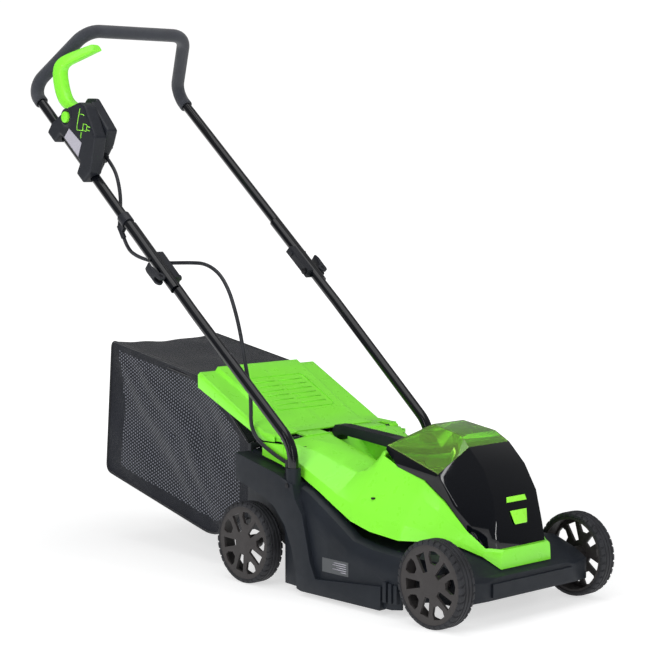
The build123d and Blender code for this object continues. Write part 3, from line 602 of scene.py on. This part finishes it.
def make_wheels():
    for end, y in WHEELS:
        for side, sign in (("right", -1), ("left", 1)):
            name = f"tyre_{end}_{side}"
            mesh = tyre_mesh(name)
            move = Matrix.Translation(P(sign * WHEEL_MID_X, y, WHEEL_R))
            mesh.transform(move @ Matrix.Scale(-sign, 4, (1, 0, 0)))
            if sign == 1:
                mesh.flip_normals()
            tyre = link(name, mesh)
            dress(tyre, "rubber", 0.35, 28, 2)
            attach(tyre, f"{end}_{side}_wheel")
            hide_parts(f"wheel_{end}_{side}_tyre")
            dress(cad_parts[f"wheel_{end}_{side}_rim"], "rim", 1.1, 28)


make_wheels()


# Foam grip

def make_grip():
    """Foam sleeve, a little uneven, with softened ends."""
    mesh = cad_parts["foam_grip"].data.copy()
    mesh.name = "grip_sleeve"
    made = bmesh.new()
    made.from_mesh(mesh)
    bmesh.ops.remove_doubles(made, verts=made.verts, dist=1e-5)
    for vertex in made.verts:
        wobble = noise.noise(vertex.co * 30) * 0.35 + noise.noise(vertex.co * 110) * 0.12
        vertex.co += vertex.normal * (wobble - 0.2) / 1000
    made.to_mesh(mesh)
    made.free()
    grip = link("grip_sleeve", mesh)
    dress(grip, "foam", 2.2, 40, 4)
    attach(grip, "upper_handle")
    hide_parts("foam_grip")


make_grip()


# Switch box

BOX_FACE_X = -204.6


def make_bail():
    """Smooth lever out of the switch box, bent up the leg and inward beside the grip."""
    stations = [(-175, -104, 65, -24, 20, 15), (-175, -84, 55, -18, 22, 20), (-175, -62, 48, 8, 23, 26),
                (-175, -40, 53, 28, 24, 29), (-175, -18, 67, 36, 24, 30), (-175, -3, 80, 52, 24, 29),
                (-172, 3, 94, 74, 25, 28), (-162, 1, 107, 90, 26, 26), (-146, -4, 123, 95, 25, 23),
                (-130, -8, 138, 96, 24, 20), (-122, -10, 145, 96, 23, 19)]
    outline = []
    for k in range(20):
        angle = 2 * pi * k / 20
        c, s = cos(angle), sin(angle)
        outline.append((abs(c) ** 0.55 * (1 if c > 0 else -1) / 2, abs(s) ** 0.55 * (1 if s > 0 else -1) / 2))
    verts = []
    for x, along, across, lean, wide, high in stations:
        for u, v in outline:
            back = v * high * sin(radians(lean))
            rise = v * high * cos(radians(lean))
            verts.append(on_leg(x + u * wide, along - back, across + rise))
    count = len(outline)
    faces = grid_faces(len(stations), count, wrap=True)
    faces.append(tuple(reversed(range(count))))
    faces.append(tuple(range((len(stations) - 1) * count, len(stations) * count)))
    bail = mesh_object("bail_grip", verts, faces)
    tidy_normals(bail.data)
    bail.data.materials.append(mats["green_lever"])
    rounding = bail.modifiers.new("round", "BEVEL")
    rounding.width = 0.002
    rounding.segments = 3
    rounding.angle_limit = radians(50)
    smooth = bail.modifiers.new("smooth", "SUBSURF")
    smooth.levels = smooth.render_levels = 2
    bail.data.shade_smooth()
    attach(bail, "bail")
    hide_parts("bail_lever")


def make_pictogram():
    """A plain handle, deck and plug drawn in thin raised strokes on the box's outer face."""
    strokes = [[(-134, 92), (-140, 76), (-147, 60), (-152, 54)],
               [(-152, 54), (-160, 60), (-168, 66)],
               [(-160, 76), (-166, 66), (-176, 70), (-172, 82), (-160, 76)],
               [(-176, 74), (-184, 78)],
               [(-173, 80), (-181, 84)],
               [(-141, 84), (-147, 88), (-153, 90)],
               [(-165, 60), (-168, 54), (-171, 50)]]
    for number, stroke in enumerate(strokes):
        line = [on_leg(BOX_FACE_X - 0.5, along, across) for along, across in stroke]
        mark = link(f"pictogram_{number}", tube_mesh(f"pictogram_{number}", line, 0.0008, 6))
        mark.data.materials.append(mats["badge"])
        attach(mark, "upper_handle")


def make_switch_cases():
    """Both halves of the switch box, with the soft round edges of a moulding."""
    for half in ("outer", "inner"):
        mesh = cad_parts[f"switch_box_{half}"].data.copy()
        mesh.name = f"switch_case_{half}"
        mesh.materials.clear()
        mesh.materials.append(mats["switch"])
        case = link(f"switch_case_{half}", mesh)
        even = case.modifiers.new("even", "REMESH")
        even.mode = "VOXEL"
        even.voxel_size = 0.0014
        even.use_smooth_shade = True
        rounding = case.modifiers.new("round", "SMOOTH")
        rounding.factor = 0.5
        rounding.iterations = 36
        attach(case, "upper_handle")
        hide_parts(f"switch_box_{half}")


def make_badge():
    """The nose badge: a stripe over a tapered plate with a flat foot."""
    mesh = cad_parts["nose_badge"].data.copy()
    mesh.name = "badge_plates"
    low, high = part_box("nose_badge")
    made = bmesh.new()
    made.from_mesh(mesh)
    bmesh.ops.remove_doubles(made, verts=made.verts, dist=1e-6)
    parts = made.verts[:] + made.edges[:] + made.faces[:]
    foot = Vector((0, 0, low.z + 0.2 * (high.z - low.z)))
    bmesh.ops.bisect_plane(made, geom=parts, plane_co=foot, plane_no=(0, 0, -1), clear_outer=True)
    bmesh.ops.holes_fill(made, edges=[edge for edge in made.edges if edge.is_boundary])
    bmesh.ops.recalc_face_normals(made, faces=made.faces)
    made.to_mesh(mesh)
    made.free()
    badge = link("badge_plates", mesh)
    dress(badge, "badge", 0.2)
    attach(badge, "chassis")
    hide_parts("nose_badge")


def make_collar():
    """Raised ring round the start button."""
    low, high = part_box("safety_button")
    middle = (Vector(low) + Vector(high)) / 2
    reach = (high[2] - low[2]) / 2 + 0.0022
    face = P(BOX_FACE_X, 0, 0).x
    line = []
    for k in range(25):
        angle = 2 * pi * k / 24
        line.append(Vector((face, middle.y + reach * cos(angle), middle.z + reach * sin(angle))))
    collar = link("button_collar", tube_mesh("button_collar", line, 0.0026, 8))
    collar.data.materials.append(mats["switch"])
    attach(collar, "upper_handle")


def make_print():
    """Plain light bars on the side plate."""
    low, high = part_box("side_label")
    size = high - low
    for row, end in enumerate((0.55, 0.6, 0.45, 0.6, 0.3)):
        z = high.z - size.z * (0.2 + 0.15 * row)
        line = [Vector((low.x + 0.0001, low.y + size.y * share, z)) for share in (0.08, end)]
        bar = link(f"plate_bar_{row}", tube_mesh(f"plate_bar_{row}", line, 0.0007, 6))
        bar.data.materials.append(mats["label"])
        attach(bar, "chassis")


make_bail()
make_switch_cases()
make_badge()
make_collar()
make_print()
make_pictogram()


# Flap ribs

def make_flap_ribs():
    """Low ribs inside a rounded border on the flap's raised middle."""
    def on_flap(x, y):
        return P(x, y, 269.5 + (y + 66) * 94 / 180)

    def rounded(x0, x1, y0, y1, reach):
        corners = ((x1 - reach, y1 - reach, 0), (x0 + reach, y1 - reach, 90),
                   (x0 + reach, y0 + reach, 180), (x1 - reach, y0 + reach, 270))
        line = []
        for cx, cy, turn in corners:
            for k in range(5):
                angle = radians(turn + 22.5 * k)
                line.append(on_flap(cx + reach * cos(angle), cy + reach * sin(angle)))
        return line + line[:1]

    lines = [rounded(-72, 72, -22, 72, 9)]
    for row in range(6):
        y = -8 + 13.2 * row
        for x0, x1 in ((-60, -8), (0, 60)):
            lines.append([on_flap(x0, y), on_flap(x1, y)])
    for number, line in enumerate(lines):
        rib = link(f"flap_rib_{number}", tube_mesh(f"flap_rib_{number}", line, 0.0009, 6))
        rib.data.materials.append(mats["green"])
        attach(rib, "flap")


make_flap_ribs()


# Grass bag: its side outline as (y, z, corner radius), from the mouth's top round to its foot

BAG_HALF = 126.0
BAG_OUTLINE = [(-5, 238, 4), (60, 300, 30), (120, 346, 30), (402, 394, 14), (424, 136, 16), (90, 52, 34),
               (-5, 100, 4)]


def rounded_outline(points, step):
    """Points about a step apart along an open outline of (y, z, corner radius) points."""
    line = [Vector((points[0][0], points[0][1]))]
    for before, here, after in zip(points, points[1:], points[2:]):
        corner = Vector(here[:2])
        into = (corner - Vector(before[:2])).normalized()
        out = (Vector(after[:2]) - corner).normalized()
        reach = here[2]
        start = corner - into * reach
        end = corner + out * reach
        for k in range(7):
            t = k / 6
            line.append(start * (1 - t) ** 2 + corner * 2 * t * (1 - t) + end * t ** 2)
    line.append(Vector(points[-1][:2]))
    even = [line[0]]
    for a, b in zip(line, line[1:]):
        count = max(1, round((b - a).length / step))
        for k in range(1, count + 1):
            even.append(a.lerp(b, k / count))
    return even


def fold(y, z):
    """Slack folds that run from the bag's upper rear corner down to its front."""
    across = 0.66 * y - 0.75 * z
    warp = 46 * noise.noise(Vector((y, z, 0)) / 160)
    wave = 1.5 * sin((across + warp) / 24) + 0.5 * sin((across - warp) / 11 + y / 70)
    return wave + 1.3 * noise.noise(Vector((y / 90, z / 90, 3)))


def bag_strip(outline):
    """The solid cloth over the top, down the rear and along the underside."""
    columns = 41
    verts = []
    length = 0.0
    for i, point in enumerate(outline):
        if i:
            length += (point - outline[i - 1]).length
        before = outline[max(i - 1, 0)]
        after = outline[min(i + 1, len(outline) - 1)]
        tangent = (after - before).normalized()
        outward = Vector((-tangent.y, tangent.x))
        for k in range(columns):
            t = k / (columns - 1)
            x = -BAG_HALF + 2 * BAG_HALF * t
            middle = 4 * t * (1 - t)
            on_top = point.y > 300
            slack = -5.5 * middle if on_top else 3.0 * middle
            ripple = noise.noise(Vector((x / 60, length / 60, 1))) * 3.2 * middle
            ripple += sin(length / 19 + 3 * noise.noise(Vector((x / 90, length / 90, 5)))) * 0.8 * middle
            ends = min(1.0, min(i, len(outline) - 1 - i) / 6)
            place = point + outward * (slack + ripple) * ends
            verts.append(P(x, place.x, place.y))
    strip = mesh_object("bag_cloth_strip", verts, grid_faces(len(outline), columns))
    return strip, length


def bag_side(outline, sign):
    """A side panel of open mesh, sagging inward, with solid cloth bands along its rear and lower edges."""
    rings = 34
    closed = outline + [Vector((-5, 100 + 46 * k)) for k in (1, 2)]
    centre = Vector((215, 225))
    verts, faces = [], []
    count = len(closed)
    for ring in range(rings):
        share = 1 - ring / rings
        for point in closed:
            place = centre.lerp(point, share)
            inside = 1 - share
            belly = 1 - exp(-4.5 * inside)
            front = min(1.0, max(place.x, 0) / 90)
            sag = belly * (7.0 + 3.4 * fold(place.x, place.y)) * (0.35 + 0.65 * front)
            verts.append(P(sign * (BAG_HALF - max(sag, -1.2)), place.x, place.y))
    faces = grid_faces(rings, count, wrap=True)
    verts.append(P(sign * (BAG_HALF - 8), centre.x, centre.y))
    last = (rings - 1) * count
    faces += [(last + k, last + (k + 1) % count, rings * count) for k in range(count)]
    if sign == 1:
        faces = [tuple(reversed(face)) for face in faces]
    side = mesh_object("bag_mesh_left" if sign == 1 else "bag_mesh_right", verts, faces)
    return side, closed


def soft(obj, mat_names):
    for name in mat_names:
        obj.data.materials.append(mats[name])
    obj.data.shade_smooth()
    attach(obj, "grass_bag")


def in_band(place):
    """Whether a place on a side panel lies in its border of solid cloth."""
    y = place.y * 1000 - ROW_Y
    z = place.z * 1000
    rear = y > 386 - 14 * sin((z - 136) / 260 * pi)
    front = y < 22
    low = z < 78 + 0.252 * (y - 90) or z < 78 - 0.5 * (y - 90)
    high = z > 330 + 0.17 * (y - 120) if y > 120 else z > 224 + 0.95 * y
    return rear or front or low or high


def make_bag():
    outline = rounded_outline(BAG_OUTLINE, 7)
    strip, length = bag_strip(outline)
    soft(strip, ["cloth"])
    thick = strip.modifiers.new("thickness", "SOLIDIFY")
    thick.thickness = 0.001
    thick.offset = 0
    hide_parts("bag_body")
    for sign in (-1, 1):
        side, closed = bag_side(outline, sign)
        soft(side, ["mesh", "cloth"])
        for face in side.data.polygons:
            face.material_index = 1 if in_band(face.center) else 0
        line = [P(sign * (BAG_HALF + 0.4), point.x, point.y) for point in outline]
        piping = link(f"bag_piping_{'left' if sign == 1 else 'right'}",
                      tube_mesh("bag_piping", line, 0.0019, 8))
        soft(piping, ["thread"])


make_bag()


# Floor, light and view

FLOOR_HALF = 9
WALL_LIGHT = 0.16
CEILING_LIGHT = 0.4


def make_stage():
    corners = [(-1, -1), (1, -1), (1, 1), (-1, 1)]
    floor = mesh_object("floor", [Vector((x * FLOOR_HALF, y * FLOOR_HALF, 0)) for x, y in corners],
                        [(0, 1, 2, 3)])
    f = Finish("floor_white")
    cloud = f.noise(2, 2)
    f.use(f.mix(cloud, (0.5, 0.505, 0.51), (0.53, 0.53, 0.53)), f.ramp(cloud, 0.3, 0.7, 0.3, 0.4))
    reach = f.node("ShaderNodeVectorMath", operation="LENGTH")
    f.link(f.coords, reach.inputs[0])
    f.link(f.ramp(reach.outputs["Value"], 0.5, 1.9, 0.6, 1.0), f.shader.inputs["Emission Strength"])
    f.set(Specular_IOR_Level=0.3, Emission_Color=(1, 1, 1, 1))
    floor.data.materials.append(f.mat)
    bpy.context.scene.world = studio_world()
    bpy.context.scene.view_settings.view_transform = "Standard"


def studio_world():
    """White to the eye, with a bright ceiling and dimmer walls in what the object reflects."""
    world = bpy.data.worlds.new("studio")
    world.use_nodes = True
    tree = world.node_tree
    walls = tree.nodes["Background"]
    coords = tree.nodes.new("ShaderNodeTexCoord")
    split = tree.nodes.new("ShaderNodeSeparateXYZ")
    tree.links.new(coords.outputs["Generated"], split.inputs[0])
    height = tree.nodes.new("ShaderNodeMapRange")
    limits = (("From Min", -0.1), ("From Max", 0.9), ("To Min", WALL_LIGHT), ("To Max", CEILING_LIGHT))
    for key, number in limits:
        height.inputs[key].default_value = number
    tree.links.new(split.outputs["Z"], height.inputs["Value"])
    tree.links.new(height.outputs["Result"], walls.inputs["Strength"])
    seen = tree.nodes.new("ShaderNodeBackground")
    seen.inputs["Strength"].default_value = 1.05
    rays = tree.nodes.new("ShaderNodeLightPath")
    both = tree.nodes.new("ShaderNodeMixShader")
    tree.links.new(rays.outputs["Is Camera Ray"], both.inputs[0])
    tree.links.new(walls.outputs[0], both.inputs[1])
    tree.links.new(seen.outputs[0], both.inputs[2])
    tree.links.new(both.outputs[0], tree.nodes["World Output"].inputs["Surface"])
    walls.inputs["Color"].default_value = (1, 1, 1, 1)
    seen.inputs["Color"].default_value = (1, 1, 1, 1)
    return world


def area_light(name, place, aim, size, power, mirrored=True):
    """A soft light aimed at a point. One that isn't mirrored leaves no patch on glossy parts."""
    light = bpy.data.lights.new(name, "AREA")
    light.shape = "RECTANGLE"
    light.size, light.size_y = size
    light.energy = power
    obj = link(name, light)
    obj.location = place
    obj.rotation_euler = (Vector(aim) - Vector(place)).to_track_quat("-Z", "Y").to_euler()
    obj.visible_glossy = mirrored


make_stage()
area_light("top_softbox", (-0.3, -0.2, 2.6), (0, 0, 0.3), (2.2, 2.2), 26)
area_light("left_softbox", (-2.6, -0.6, 1.3), (0, 0, 0.4), (1.0, 1.6), 44, mirrored=False)
area_light("front_softbox", (0.6, -2.8, 1.2), (0, -0.2, 0.3), (0.7, 1.6), 26, mirrored=False)
area_light("left_strip", (-2.4, -0.4, 1.2), (0, 0, 0.4), (0.07, 1.6), 4)
area_light("front_strip", (-1.5, -2.3, 0.9), (0, -0.4, 0.2), (0.1, 1.6), 7)
